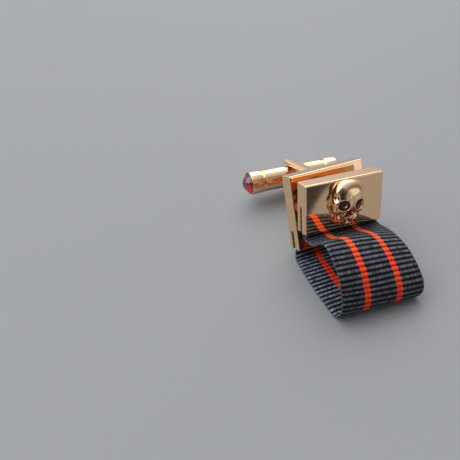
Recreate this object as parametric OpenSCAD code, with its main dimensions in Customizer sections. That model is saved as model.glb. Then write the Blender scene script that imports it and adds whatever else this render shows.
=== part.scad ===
// Ribbon cufflink, closed: a gold face block with a skull ornament, a fork and toggle behind it,
// and a striped ribbon that loops from the block round to a hole plate pushed onto the fork.
// Millimetres. X runs along the block, +Y away from its face, +Z up. It lies on the plane z = 0.

/* [Face block] */
// Width of the block, the plate and the ribbon, left to right
block_w = 16; // [14:0.5:18]
// Height of the block
block_h = 9.5; // [9:0.1:11]
// Thickness of the block, front to back
block_t = 3.1; // [3:0.1:3.6]
// Radius of the softened metal edges
edge_r = 0.3; // [0.15:0.05:0.5]
// Depth of the ribbon slot in the block's lower edge
block_slot_deep = 5; // [3:0.5:6]

/* [Hole plate] */
// Height of the plate that slides over the fork
plate_h = 14.4; // [13.5:0.1:15]
// Thickness of that plate
plate_t = 3.1; // [3:0.1:3.4]
// Diameter of the hole that the fork passes through
hole_d = 8.4; // [8.3:0.1:8.6]
// Height of the hole's centre above the middle of the plate
hole_up = 1.35; // [1.3:0.05:1.4]
// Depth of the ribbon slot in the plate's lower edge
plate_slot_deep = 3.6; // [3.2:0.1:4]
// Diameter of a rivet's head
rivet_head_d = 1.1; // [0.9:0.1:1.3]
// Distance between the two rivets
rivet_span = 8.6; // [7:0.2:10]
// Height of the rivets above the plate's lower edge
rivet_up = 2.5; // [2.3:0.1:2.7]

/* [Fork] */
// Length from the back of the block to the pivot
fork_l = 17.7; // [17:0.1:18]
// Distance over the outer faces of the two arms
fork_span = 6.8; // [6.6:0.1:7]
// Thickness of the strap that the fork is bent from
strap_t = 0.8; // [0.6:0.05:0.9]
// Width of that strap
strap_w = 2.5; // [2:0.1:2.6]
// How far an arm runs on past the pivot
arm_past_pivot = 1.95; // [1.5:0.05:2]
// How far the fork sits below the middle of the block
fork_drop = 0.72; // [0.6:0.02:0.8]

/* [Toggle] */
// Diameter of the bar
bar_d = 4.6; // [4:0.1:4.8]
// Diameter of the two end collars
collar_d = 4.9; // [4.6:0.1:5]
// Length from the pivot to the rim round the stone
stone_arm = 10; // [9:0.1:10.5]
// Length from the pivot to the plain end
plain_arm = 10.8; // [10:0.1:11]
// Diameter of the pivot pin
pin_d = 0.9; // [0.7:0.1:1.2]

/* [Ribbon] */
// Thickness of the ribbon
ribbon_t = 1; // [1:0.05:1.05]
// Free space on each side of the ribbon in a slot
slot_play = 0.1; // [0.1:0.01:0.15]

/* [Hidden] */

// colours as the photograph shows them
GOLD = [0.86, 0.66, 0.50];
RUBY = [0.72, 0.04, 0.22];
GARNET = [0.30, 0.02, 0.06];
CLOTH = [0.16, 0.17, 0.21];

// the whole object moves forward by this, so that its box is centred over the origin
MIDDLE_X = -0.15;
MIDDLE_Y = 2.75;

// how the block leans back and drops at its right end, and how high its middle is
BLOCK_TILT = 19.7;
BLOCK_ROLL = 3.8;
BLOCK_Z = 11.71;

// the same for the hole plate, which hangs on the fork behind the block
PLATE_MIDDLE = [-0.2, 3.6, 8.48];
PLATE_YAW = 4.4;
PLATE_TILT = 29.2;
PLATE_ROLL = 3.6;

// both slots lie this far behind the front face
SLOT_BACK = 1.9;
SLOT_WIDE = ribbon_t + 2 * slot_play;
// space left between the ribbon's end and the slot's bottom
SLOT_END = 0.15;
// how far a cutting shape runs past the face that it cuts
PAST = 1;

// turns of a point about the three axes
function turned_x(a, p) = [p.x, p.y * cos(a) - p.z * sin(a), p.y * sin(a) + p.z * cos(a)];
function turned_y(a, p) = [p.x * cos(a) + p.z * sin(a), p.y, p.z * cos(a) - p.x * sin(a)];
function turned_z(a, p) = [p.x * cos(a) - p.y * sin(a), p.x * sin(a) + p.y * cos(a), p.z];

// a point given in the block's own frame, or the plate's: middle of the front face, x right, y back, z up
function block_point(p) = [0, 0, BLOCK_Z] + turned_x(-BLOCK_TILT, turned_y(BLOCK_ROLL, p));
function plate_point(p) = PLATE_MIDDLE
    + turned_z(PLATE_YAW, turned_x(-PLATE_TILT, turned_y(PLATE_ROLL, p)));

module centred() {
    translate([-MIDDLE_X, -MIDDLE_Y, 0]) children();
}

module in_block_frame() {
    centred()
        translate([0, 0, BLOCK_Z])
            rotate([-BLOCK_TILT, 0, 0])
                rotate([0, BLOCK_ROLL, 0])
                    children();
}

module in_plate_frame() {
    centred()
        translate(PLATE_MIDDLE)
            rotate([0, 0, PLATE_YAW])
                rotate([-PLATE_TILT, 0, 0])
                    rotate([0, PLATE_ROLL, 0])
                        children();
}

// a cylinder that runs back along +Y from the point where it is drawn
module rod_back(d, l) {
    rotate([-90, 0, 0]) cylinder(d = d, h = l, $fn = 48);
}

module round_rectangle(a, b, r) {
    square([a - 2 * r, b], center = true);
    square([a, b - 2 * r], center = true);
    for (i = [-1, 1], j = [-1, 1])
        translate([i * (a / 2 - r), j * (b / 2 - r)]) circle(r = r, $fn = 24);
}

// a slab whose edges are all rounded, its front face on y = 0
module soft_slab(w, t, h, r) {
    translate([0, t / 2, 0])
        intersection() {
            linear_extrude(height = h, center = true) round_rectangle(w, t, r);
            rotate([90, 0, 0]) linear_extrude(height = t, center = true) round_rectangle(w, h, r);
            rotate([90, 0, 90]) linear_extrude(height = w, center = true) round_rectangle(t, h, r);
        }
}

// the slot in a slab's lower edge, open at both ends
module ribbon_slot(h, deep) {
    translate([-block_w, SLOT_BACK - SLOT_WIDE / 2, -h])
        cube([2 * block_w, SLOT_WIDE, h / 2 + deep]);
}

/* the fork */
PIVOT_Y = block_t + fork_l;
ELBOW_R = 1.5;
// how far the fork's base is sunk into the back of the block, where it is soldered
SOLDERED = 0.2;

// the strap's two arms and its base, seen from the side, in block y and z
module strap_side() {
    long = fork_l + arm_past_pivot + SOLDERED;
    inner = fork_span - 2 * strap_t;
    inner_r = ELBOW_R - strap_t;
    translate([block_t - SOLDERED, -fork_drop])
        difference() {
            union() {
                translate([ELBOW_R, -fork_span / 2]) square([long - ELBOW_R, fork_span]);
                translate([0, ELBOW_R - fork_span / 2]) square([long, fork_span - 2 * ELBOW_R]);
                for (s = [-1, 1])
                    translate([ELBOW_R, s * (fork_span / 2 - ELBOW_R)]) circle(r = ELBOW_R, $fn = 48);
            }
            translate([ELBOW_R, -inner / 2]) square([long, inner]);
            translate([strap_t + SOLDERED, inner_r - inner / 2])
                square([long, inner - 2 * inner_r]);
            for (s = [-1, 1])
                translate([strap_t + SOLDERED + inner_r, s * (inner / 2 - inner_r)])
                    circle(r = inner_r, $fn = 48);
        }
}

// the same strap seen from above: straight sides and round ends
module strap_plan() {
    round_y = PIVOT_Y + arm_past_pivot - strap_w / 2;
    translate([-strap_w / 2, 0]) square([strap_w, round_y]);
    translate([0, round_y]) circle(d = strap_w, $fn = 48);
}

module fork() {
    intersection() {
        rotate([90, 0, 90]) linear_extrude(height = 2 * strap_w, center = true) strap_side();
        linear_extrude(height = 2 * block_h, center = true) strap_plan();
    }
}

module at_pivot() {
    in_block_frame() translate([0, PIVOT_Y, -fork_drop]) children();
}

// a pin held in the arms by this much play all round
PIN_HELD = 0.02;

module face_block() {
    color(GOLD)
        in_block_frame()
            difference() {
                union() {
                    soft_slab(block_w, block_t, block_h, edge_r);
                    fork();
                }
                ribbon_slot(block_h, block_slot_deep);
                translate([0, PIVOT_Y, 0])
                    cylinder(d = pin_d + 2 * PIN_HELD, h = 2 * block_h, center = true, $fn = 48);
            }
}

module pivot_pin() {
    color(GOLD)
        at_pivot() cylinder(d = pin_d, h = fork_span, center = true, $fn = 48);
}

/* the toggle */
// play between the pin and the bar that turns on it
PIVOT_PLAY = 0.05;
COLLAR_L = 2.6;
PLAIN_COLLAR_L = 3.2;
GROOVE_W = 0.3;
GROOVE_DEEP = 0.25;
PLAIN_END_R = 0.7;
SEAT_D = 4.5;
SEAT_DEEP = 1.1;

// half of the bar's section: first value out from its axis, second along it from the pivot
module bar_section() {
    translate([0, -stone_arm]) square([collar_d / 2, COLLAR_L]);
    translate([0, -stone_arm + COLLAR_L]) square([bar_d / 2 - GROOVE_DEEP, GROOVE_W]);
    translate([0, -stone_arm + COLLAR_L + GROOVE_W])
        square([bar_d / 2, stone_arm + plain_arm - COLLAR_L - PLAIN_COLLAR_L - 2 * GROOVE_W]);
    translate([0, plain_arm - PLAIN_COLLAR_L - GROOVE_W])
        square([bar_d / 2 - GROOVE_DEEP, GROOVE_W]);
    translate([0, plain_arm - PLAIN_COLLAR_L])
        square([collar_d / 2, PLAIN_COLLAR_L - PLAIN_END_R]);
    translate([0, plain_arm - PLAIN_END_R]) square([collar_d / 2 - PLAIN_END_R, PLAIN_END_R]);
    intersection() {
        translate([collar_d / 2 - PLAIN_END_R, plain_arm - PLAIN_END_R])
            circle(r = PLAIN_END_R, $fn = 48);
        translate([0, plain_arm - PLAIN_END_R]) square([collar_d, PLAIN_END_R]);
    }
}

module toggle_bar() {
    color(GOLD)
        at_pivot()
            difference() {
                rotate([0, 90, 0]) rotate_extrude($fn = 64) bar_section();
                cylinder(d = pin_d + 2 * PIVOT_PLAY, h = 2 * bar_d, center = true, $fn = 48);
                translate([-stone_arm - PAST, 0, 0])
                    rotate([0, 90, 0]) cylinder(d = SEAT_D, h = PAST + SEAT_DEEP, $fn = 64);
            }
}

// a round cut stone with its table at the top, girdle on z = 0: eight main facets crossed by eight more
module cut_stone(d, crown, table_d, girdle, pavilion) {
    intersection() {
        cylinder(d1 = d, d2 = table_d, h = crown, $fn = 8);
        rotate([0, 0, 22.5]) cylinder(d1 = d * 1.08, d2 = table_d * 0.86, h = crown, $fn = 8);
    }
    translate([0, 0, -girdle])
        intersection() {
            cylinder(d = d, h = girdle, $fn = 8);
            rotate([0, 0, 22.5]) cylinder(d = d * 1.08, h = girdle, $fn = 8);
        }
    translate([0, 0, -girdle - pavilion])
        cylinder(d1 = table_d / 2, d2 = d * 0.9, h = pavilion, $fn = 8);
}

module toggle_stone() {
    color(RUBY)
        at_pivot()
            translate([-stone_arm, 0, 0])
                rotate([0, -90, 0])
                    cut_stone(SEAT_D - 0.1, 1.1, 1.9, 0.15, 0.8);
}

/* the skull */
// sizes are in the block's frame; the back of the skull lies flat on the block's face
SKULL_FN = 28;
SKULL_X = 0.06;
// how far the skull is turned on the face, clockwise as one looks at it
SKULL_ROLL = 4;
// how far behind the block's face the middle of the round head lies
HEAD_SUNK = 0.45;
EYE_X = 1.52;
EYE_Z = 0.42;
EYE_DEEP = 1.24;
EYE_D = 1.35;
// height of an eye stone's girdle above the floor of its socket
EYE_SEAT = 0.16;
TOOTH_PITCH = 0.46;

// a ball of radius r in front of the block's face, out is its middle's distance from that face
module ball(x, z, out, r) {
    translate([x, -out, z]) sphere(r = r, $fn = SKULL_FN);
}

module in_skull_frame() {
    in_block_frame() translate([SKULL_X, 0, 0]) rotate([0, SKULL_ROLL, 0]) children();
}

module skull_head() {
    hull() {
        for (s = [-1, 1]) ball(s * 0.5, 1.85, -HEAD_SUNK, 2.95);
        for (s = [-1, 1]) ball(s * 0.4, 0.9, -HEAD_SUNK, 2.95);
    }
}

module skull_face() {
    // brow and cheekbones
    hull() {
        for (s = [-1, 1]) ball(s * 1.8, -0.1, 0.85, 1.3);
        for (s = [-1, 1]) ball(s * 1.2, 1.4, 1.05, 1.2);
    }
    // upper jaw and chin
    hull() {
        for (s = [-1, 1]) ball(s * 1.4, -1.2, 0.5, 1.2);
        for (s = [-1, 1]) ball(s * 1.1, -2.6, 0.4, 1.0);
    }
}

module skull_hollows() {
    for (s = [-1, 1]) {
        // eye sockets
        translate([s * EYE_X, -EYE_DEEP, EYE_Z])
            rotate([90, 0, 0]) cylinder(r1 = 0.72, r2 = 1.15, h = 2, $fn = SKULL_FN);
        // temples
        ball(s * 3.5, 1.9, 1.9, 0.95);
        // hollows under the cheekbones
        ball(s * 1.8, -2.0, 2.0, 0.75);
    }
    // nose
    hull() {
        ball(0, -0.9, 1.6, 0.3);
        for (s = [-1, 1]) ball(s * 0.36, -1.85, 1.5, 0.38);
    }
}

module skull_teeth() {
    for (i = [-2.5:1:2.5])
        translate([i * TOOTH_PITCH, 0.06 * i * i - 1.3, -3.2])
            rotate([0, 0, -i * 10])
                cube([TOOTH_PITCH - 0.08, 0.5, 0.7], center = true);
}

module skull() {
    color(GOLD)
        in_skull_frame()
            difference() {
                union() {
                    difference() {
                        union() {
                            skull_head();
                            skull_face();
                        }
                        skull_hollows();
                    }
                    skull_teeth();
                }
                translate([-block_w, 0, -block_h]) cube([2 * block_w, 2 * block_h, 2 * block_h]);
            }
}

module eye_stone(s) {
    color(GARNET)
        in_skull_frame()
            translate([s * EYE_X, -EYE_DEEP - EYE_SEAT, EYE_Z])
                rotate([90, 0, 0])
                    cut_stone(EYE_D, 0.28, 0.75, 0.12, 0.01);
}

module eye_stone_left() {
    eye_stone(-1);
}

module eye_stone_right() {
    eye_stone(1);
}

/* the hole plate */
RIVET_D = 0.8;
RIVET_PLAY = 0.02;
RIVET_HEAD_H = 0.15;
HOLE_BEVEL = 0.3;

module at_rivets() {
    for (s = [-1, 1]) at_rivet(s) children();
}

module at_rivet(s) {
    translate([s * rivet_span / 2, 0, rivet_up - plate_h / 2]) children();
}

module hole_plate() {
    color(GOLD)
        in_plate_frame()
            difference() {
                soft_slab(block_w, plate_t, plate_h, edge_r);
                ribbon_slot(plate_h, plate_slot_deep);
                translate([0, -PAST, hole_up]) rod_back(hole_d, plate_t + 2 * PAST);
                translate([0, 0, hole_up])
                    rotate([-90, 0, 0])
                        cylinder(d1 = hole_d + 2 * HOLE_BEVEL, d2 = hole_d, h = HOLE_BEVEL, $fn = 48);
                translate([0, plate_t, hole_up])
                    rotate([90, 0, 0])
                        cylinder(d1 = hole_d + 2 * HOLE_BEVEL, d2 = hole_d, h = HOLE_BEVEL, $fn = 48);
                at_rivets()
                    translate([0, -PAST, 0]) rod_back(RIVET_D + 2 * RIVET_PLAY, plate_t + 2 * PAST);
            }
}

module rivet(s) {
    color(GOLD)
        in_plate_frame()
            at_rivet(s) {
                rod_back(RIVET_D, plate_t);
                translate([0, -RIVET_HEAD_H, 0]) rod_back(rivet_head_d, RIVET_HEAD_H);
            }
}

module rivet_left() {
    rivet(-1);
}

module rivet_right() {
    rivet(1);
}

/* the ribbon */
// Middle of the ribbon's thickness, from the block's slot over the hump, round the front fold and back
// along the surface to the plate's slot. The left edge humps higher than the right, so the loop is twisted.
// columns: middle x, left edge y, left edge z, right edge y, right edge z, rise of the middle
LOW = ribbon_t / 2;
RIBBON_ROWS = [
    [-0.32,   0.05,  6.70,   0.22,  6.77, -0.06],
    [-0.35,  -0.58,  6.50,  -0.02,  6.11, -0.14],
    [-0.35,  -1.60,  6.60,  -0.55,  5.30, 0.00],
    [-0.35,  -2.70,  6.90,  -1.65,  5.20, 0.05],
    [-0.40,  -3.80,  7.45,  -2.80,  5.60, 0.15],
    [-0.40,  -4.80,  8.30,  -4.00,  6.15, 0.25],
    [-0.40,  -5.60,  9.35,  -5.30,  6.55, 0.35],
    [-0.40,  -6.35, 10.20,  -6.40,  6.80, 0.40],
    [-0.40,  -7.40, 10.60,  -7.50,  6.95, 0.40],
    [-0.40,  -8.60, 10.50,  -8.70,  7.00, 0.40],
    [-0.40,  -9.70, 10.05,  -9.90,  6.90, 0.35],
    [-0.40, -10.80,  9.50, -11.05,  6.60, 0.35],
    [-0.40, -11.90,  8.90, -12.20,  6.15, 0.30],
    [-0.40, -12.80,  8.05, -13.35,  5.65, 0.30],
    [-0.45, -13.50,  7.00, -14.45,  5.05, 0.30],
    [-0.45, -14.10,  5.95, -15.45,  4.25, 0.30],
    [-0.45, -14.75,  4.95, -16.05,  3.30, 0.25],
    [-0.50, -15.15,  3.85, -16.30,  2.20, 0.20],
    [-0.55, -15.25,  2.65, -16.00,  1.15, 0.10],
    [-0.65, -14.95,  1.50, -15.00,  0.60, 0.00],
    [-0.75, -14.20,  0.70, -13.90,   LOW, 0.00],
    [-0.85, -13.10,   LOW, -12.90,   LOW, 0.00],
    [-0.95, -10.50,   LOW, -10.60,   LOW, 0.00],
    [-1.00,  -7.50,   LOW,  -7.80,   LOW, 0.00],
    [-0.95,  -4.50,   LOW,  -4.90,   LOW, 0.00],
    [-0.85,  -2.00,   LOW,  -2.20,   LOW, 0.00],
    [-0.70,  -0.30,   LOW,   0.00,   LOW, 0.00],
    [-0.60,   0.50,  0.72,   1.10,   LOW, 0.00],
    [-0.55,   1.00,  1.15,   1.70,  0.55, 0.00],
];
// smoothing steps between two rows
STEPS = 3;
// strips across the ribbon's width
STRIPS = 4;
// how far the ribs at the block's slot run deeper into it at the right edge than at the left
RIB_SKEW = 1.2;
// how far inside each slot the ribbon's smooth curve begins and ends
MOUTH = 0.6;

// A section is one list: left edge x, y, z, right edge x, y, z, rise.
function row_section(r) =
    let (half = sqrt(block_w * block_w - pow(r[1] - r[3], 2) - pow(r[2] - r[4], 2)) / 2)
    [r[0] - half, r[1], r[2], r[0] + half, r[3], r[4], r[5]];
function block_section(z, skew) =
    concat(block_point([-block_w / 2, SLOT_BACK, z]), block_point([block_w / 2, SLOT_BACK, z + skew]), [0]);
function plate_section(z) =
    concat(plate_point([-block_w / 2, SLOT_BACK, z]), plate_point([block_w / 2, SLOT_BACK, z]), [0]);

// a smooth curve through four sections, between the second and third
function between(a, b, c, d, t) =
    0.5 * (2 * b + (c - a) * t + (2 * a - 5 * b + 4 * c - d) * t * t + (3 * b - a - 3 * c + d) * t * t * t);
function smoothed(e) =
    let (n = len(e))
    [for (i = [0:n - 2], k = [0:STEPS - 1])
        between(e[max(i - 1, 0)], e[i], e[i + 1], e[min(i + 2, n - 1)], k / STEPS),
     e[n - 1]];

SECTIONS = concat(
    [block_section(block_slot_deep - block_h / 2 - SLOT_END, 0)],
    smoothed(concat(
        [block_section(MOUTH - block_h / 2, RIB_SKEW), block_section(-block_h / 2, RIB_SKEW)],
        [for (r = RIBBON_ROWS) row_section(r)],
        [plate_section(-plate_h / 2), plate_section(MOUTH - plate_h / 2)])),
    [plate_section(plate_slot_deep - plate_h / 2 - SLOT_END)]);
LAST = len(SECTIONS) - 1;

function unit(v) = v / norm(v);
// a point of section i, f is 0 at the left edge and 1 at the right; nothing sinks below the surface
function on_line(i, f) =
    let (
        s = SECTIONS[i],
        p = [s[0], s[1], s[2]] * (1 - f) + [s[3], s[4], s[5]] * f
    )
    [p.x, p.y, max(p.z, LOW)];
function outward(i, f) =
    unit(cross(on_line(min(i + 1, LAST), f) - on_line(max(i - 1, 0), f), on_line(i, 1) - on_line(i, 0)));
function face_point(i, f, side) =
    on_line(i, f) + (4 * f * (1 - f) * SECTIONS[i][6] + side * LOW) * outward(i, f);

// round each section: the outer face left to right, then the inner face right to left
RING = 2 * (STRIPS + 1);
RIBBON_POINTS = [
    for (i = [0:LAST])
        for (c = [0:RING - 1])
            c <= STRIPS ? face_point(i, c / STRIPS, 1) : face_point(i, (RING - 1 - c) / STRIPS, -1)
];
RIBBON_FACES = concat(
    [for (i = [0:LAST - 1], c = [0:RING - 1])
        let (a = RING * i + c, b = RING * i + (c + 1) % RING)
        for (f = [[a, b, a + RING], [b, b + RING, a + RING]]) f],
    [[for (c = [RING - 1:-1:0]) c]],
    [[for (c = [0:RING - 1]) RING * LAST + c]]);

// play between a rivet and the hole punched for it in the ribbon
PUNCH_PLAY = 0.1;

module ribbon() {
    color(CLOTH)
        difference() {
            centred() polyhedron(points = RIBBON_POINTS, faces = RIBBON_FACES, convexity = 6);
            in_plate_frame()
                at_rivets()
                    translate([0, -PAST, 0]) rod_back(RIVET_D + 2 * PUNCH_PLAY, plate_t + 2 * PAST);
        }
}

face_block();
skull();
eye_stone_left();
eye_stone_right();
pivot_pin();
toggle_bar();
toggle_stone();
hole_plate();
rivet_left();
rivet_right();
ribbon();
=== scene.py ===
# %% [markdown]
# A ribbon cufflink: a polished rose gold block with a skull ornament, a fork with a swivelling toggle
# behind it, a second plate with a round hole that slides over the fork, and a striped grosgrain ribbon
# that joins block and plate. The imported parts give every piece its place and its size. This script
# gives each one its fine shape and its finish. Sizes are in millimetres, and one factor turns them into
# the model's metres.

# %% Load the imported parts
import math

import bmesh
import bpy
import numpy as np
from mathutils import Matrix, Vector


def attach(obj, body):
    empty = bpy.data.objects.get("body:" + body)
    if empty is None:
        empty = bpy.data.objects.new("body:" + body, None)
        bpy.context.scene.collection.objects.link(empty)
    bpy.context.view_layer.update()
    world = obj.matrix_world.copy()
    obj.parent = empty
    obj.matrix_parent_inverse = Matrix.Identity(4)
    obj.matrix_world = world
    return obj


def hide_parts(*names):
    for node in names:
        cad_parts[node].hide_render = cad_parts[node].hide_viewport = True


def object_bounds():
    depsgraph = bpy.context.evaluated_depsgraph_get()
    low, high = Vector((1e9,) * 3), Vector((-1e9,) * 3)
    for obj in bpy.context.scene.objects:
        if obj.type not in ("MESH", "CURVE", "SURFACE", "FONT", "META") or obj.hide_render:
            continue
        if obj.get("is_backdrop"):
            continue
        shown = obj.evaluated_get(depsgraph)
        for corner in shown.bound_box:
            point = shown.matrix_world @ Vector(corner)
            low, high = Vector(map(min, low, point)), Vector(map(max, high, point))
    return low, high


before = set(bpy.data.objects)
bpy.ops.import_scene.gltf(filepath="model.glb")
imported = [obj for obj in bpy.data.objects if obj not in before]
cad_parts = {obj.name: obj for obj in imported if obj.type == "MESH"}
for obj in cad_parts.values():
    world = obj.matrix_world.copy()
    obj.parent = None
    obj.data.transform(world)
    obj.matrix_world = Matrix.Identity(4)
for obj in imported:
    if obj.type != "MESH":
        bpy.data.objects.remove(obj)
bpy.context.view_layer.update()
MM = 0.001
print("parts:", ", ".join(sorted(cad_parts)))

# %% [markdown]
# The block and the plate lean back on the surface. Each could be drawn leaning, but it is easier to draw
# it upright in a frame of its own, where the middle of its front face is the origin and x runs right, y
# back and z up. A matrix then takes that frame to the model. The angles and places are those of the
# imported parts.

# %% The parts' own frames
BLOCK_W, BLOCK_H, BLOCK_T = 16, 9.5, 3.1
PLATE_H, PLATE_T = 14.4, 3.1
# degrees, and the height of the block face's middle
BLOCK_TILT, BLOCK_ROLL, BLOCK_Z = 19.7, 3.8, 11.71
PLATE_YAW, PLATE_TILT, PLATE_ROLL = 4.4, 29.2, 3.6
PLATE_MIDDLE = Vector((-0.2, 3.6, 8.48))
# these places, the camera's and the ribbon's are counted from the point on the surface under the middle
# of the block's face, and the model's origin lies here from that point
MIDDLE = Vector((-0.15, 2.75, 0))


def turn(degrees, axis):
    return Matrix.Rotation(math.radians(degrees), 4, axis)


block_frame = (Matrix.Translation(Vector((0, 0, BLOCK_Z)) - MIDDLE)
               @ turn(-BLOCK_TILT, "X") @ turn(BLOCK_ROLL, "Y"))
plate_frame = (Matrix.Translation(PLATE_MIDDLE - MIDDLE)
               @ turn(PLATE_YAW, "Z") @ turn(-PLATE_TILT, "X") @ turn(PLATE_ROLL, "Y"))
ribbon_frame = Matrix.Translation(-MIDDLE)
for name, place in (("block", block_frame), ("plate", plate_frame)):
    print(name, "face's middle in mm:", [round(v, 2) for v in place.translation])

# %% [markdown]
# The camera stands where the photograph was taken from: the edges of block and plate fix its distance,
# its height and its lens. The picture is square.

# %% Camera
# the picture's width, and the focal length that the edges gave, in its pixels
PICTURE = 460
FOCAL_PX = 501.1
SENSOR = 36
CAMERA_AT = Vector((-44.83, -54.69, 71.72))
CAMERA_DOWN, CAMERA_YAW = 44.615, -22.33

lens = bpy.data.cameras.new("camera")
lens.sensor_width = SENSOR
lens.lens = FOCAL_PX / PICTURE * SENSOR
lens.clip_start = MM
camera = bpy.data.objects.new("camera", lens)
camera.location = (CAMERA_AT - MIDDLE) * MM
camera.rotation_euler = (math.radians(90 - CAMERA_DOWN), 0, math.radians(CAMERA_YAW))
bpy.context.scene.collection.objects.link(camera)
bpy.context.scene.camera = camera
print("lens", round(lens.lens, 2), "mm")

# %% [markdown]
# Every finish is a tree of nodes. A colour that is picked in a paint program is sRGB, and the renderer
# counts in linear light, so one function turns its hex code into linear values. One function gives a
# node its inputs, and one adds a node and does the same. An input is a value, another node or one of
# its outputs. A dict names the sockets, and a tuple fills those that the node shows, in their order.

# %% Colours and nodes
MATH, VECTOR_MATH = "ShaderNodeMath", "ShaderNodeVectorMath"
MIX, RANGE, NOISE = "ShaderNodeMix", "ShaderNodeMapRange", "ShaderNodeTexNoise"


def linear(code):
    """The sRGB standard's own curve, and 1 for the opacity."""
    parts = [int(code[i:i + 2], 16) / 255 for i in (0, 2, 4)]
    return (*[c / 12.92 if c <= 0.04045 else ((c + 0.055) / 1.055) ** 2.4 for c in parts], 1)


def fill(node, inputs):
    shown = [socket for socket in node.inputs if socket.enabled]
    named = inputs if isinstance(inputs, dict) else dict(enumerate(inputs))
    for key, value in named.items():
        socket = node.inputs[key] if isinstance(key, str) else shown[key]
        if isinstance(value, bpy.types.Node):
            value = next(output for output in value.outputs if output.enabled)
        if isinstance(value, bpy.types.NodeSocket):
            node.id_data.links.new(value, socket)
        else:
            socket.default_value = value


def add(tree, kind, inputs=(), **settings):
    node = tree.nodes.new(kind)
    for name, value in settings.items():
        setattr(node, name, value)
    fill(node, inputs)
    return node


def new_finish(name, looks=()):
    """A new material with the looks that are the same all over, its tree and its shader."""
    material = bpy.data.materials.new(name)
    material.use_nodes = True
    shader = material.node_tree.nodes["Principled BSDF"]
    fill(shader, dict(looks))
    return material, material.node_tree, shader


print("hex 808080 is", round(linear("808080")[0], 3), "in linear light")

# %% [markdown]
# Polished metal shows nothing but its surroundings, so the room is half of the picture. Lamps would show
# as hard shapes. A light tent is what jewellery is photographed in, and here it is drawn in the world's
# shader as a function of direction: soft white all round, brighter behind the cufflink, with a glow
# high up, a window low in front on the right, and the dim shapes of the viewer on the left and of a
# doorway in front. A long band of light goes over it from the left to the back and draws the white
# streak over every rounded form. All of them fade out smoothly, so no reflection has a hard edge.

# %% What is in the tent
TENT_WHITE = "F4F6FA"
# each has a direction, and two cosines from it: where it starts and where it is full
# the cloth has a level for the front and one for the back
BEHIND, FRONT_LEVEL, BACK_LEVEL = ((0, 1, 0), -0.6, 0.6), 0.20, 0.54
# a light has the level that it adds
LIGHTS = {
    "glow": (((-0.35, 0.50, 0.79), -0.1, 0.95), 0.70),
    "window": (((0.50, -0.86, 0.08), 0.84, 0.97), 0.78),
}
# a dim shape has the share of the light that it leaves
DIM_SHAPES = {
    "viewer": (((-0.68, -0.62, 0.40), 0.66, 0.92), 0.20),
    "doorway": (((0.05, -0.99, 0.10), 0.86, 0.97), 0.40),
}
# the band is a ring round its axis, brightest towards its middle
BAND_AXIS, BAND_MIDDLE, BAND_LEVEL = (-0.36, 0.74, -0.57), ((-0.25, 0.48, 0.84), 0.35, 0.70), 2.6
# how far it goes to either side of the ring, as sines: full up to the first, gone at the second
BAND_FULL, BAND_EDGE = 0.24, 0.44
print("in the tent:", ", ".join([*LIGHTS, "band", *DIM_SHAPES]))

# %% Light tent
def tent():
    world = bpy.data.worlds.new("tent")
    world.use_nodes = True
    tree = world.node_tree
    look = add(tree, "ShaderNodeTexCoord").outputs["Generated"]

    def patch(where, outside, inside):
        """A level that changes smoothly from outside to inside as one looks towards a direction."""
        direction, start, full = where
        cosine = add(tree, VECTOR_MATH, (look, Vector(direction).normalized()), operation="DOT_PRODUCT")
        return add(tree, RANGE, (cosine, start, full, outside, inside), interpolation_type="SMOOTHSTEP")

    level = patch(BEHIND, FRONT_LEVEL, BACK_LEVEL)
    for where, strength in LIGHTS.values():
        level = add(tree, MATH, (level, patch(where, 0.0, strength)), operation="ADD")
    axis = Vector(BAND_AXIS).normalized()
    off_ring = add(tree, VECTOR_MATH, (look, axis), operation="DOT_PRODUCT")
    off_ring = add(tree, MATH, (off_ring,), operation="ABSOLUTE")
    ring = add(tree, RANGE, (off_ring, BAND_EDGE, BAND_FULL, 0.0, BAND_LEVEL),
               interpolation_type="SMOOTHSTEP")
    band = add(tree, MATH, (ring, patch(BAND_MIDDLE, 0.0, 1.0)), operation="MULTIPLY")
    level = add(tree, MATH, (level, band), operation="ADD")
    for where, kept in DIM_SHAPES.values():
        level = add(tree, MATH, (level, patch(where, 1.0, kept)), operation="MULTIPLY")
    fill(tree.nodes["Background"], {"Color": linear(TENT_WHITE), "Strength": level})
    return world


bpy.context.scene.world = tent()
# this view keeps the strong contrast of mirror metal
bpy.context.scene.view_settings.view_transform = "Standard"
print("tent of", len(bpy.context.scene.world.node_tree.nodes), "nodes")

# %% [markdown]
# The cufflink lies on a plain pale board, matt, so that it takes a soft shadow and mirrors next to
# nothing. The helper that makes this mesh makes all later ones too. It takes points in a part's own
# frame and puts that frame into the mesh, so the object itself stays at the origin.

# %% Floor
FLOOR_HALF = 2500
FLOOR_CORNERS = ((-1, -1), (1, -1), (1, 1), (-1, 1))


def mesh_piece(name, points, faces, place, material, smooth=True):
    mesh = bpy.data.meshes.new(name)
    mesh.from_pydata([tuple(p) for p in points], [], [tuple(f) for f in faces])
    mesh.transform(Matrix.Scale(MM, 4) @ place)
    mesh.validate()
    mesh.materials.append(material)
    mesh.polygons.foreach_set("use_smooth", [smooth] * len(mesh.polygons))
    piece = bpy.data.objects.new(name, mesh)
    bpy.context.scene.collection.objects.link(piece)
    return piece


pale_board, _, _ = new_finish("pale_board", {
    "Base Color": linear("8A8B8C"), "Roughness": 0.6, "Specular IOR Level": 0.25})
floor_points = [(x * FLOOR_HALF, y * FLOOR_HALF, 0) for x, y in FLOOR_CORNERS]
floor = mesh_piece("floor", floor_points, [(0, 1, 2, 3)], Matrix.Identity(4), pale_board)
floor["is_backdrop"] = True
print("floor", 2 * FLOOR_HALF * MM, "m wide")

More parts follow.
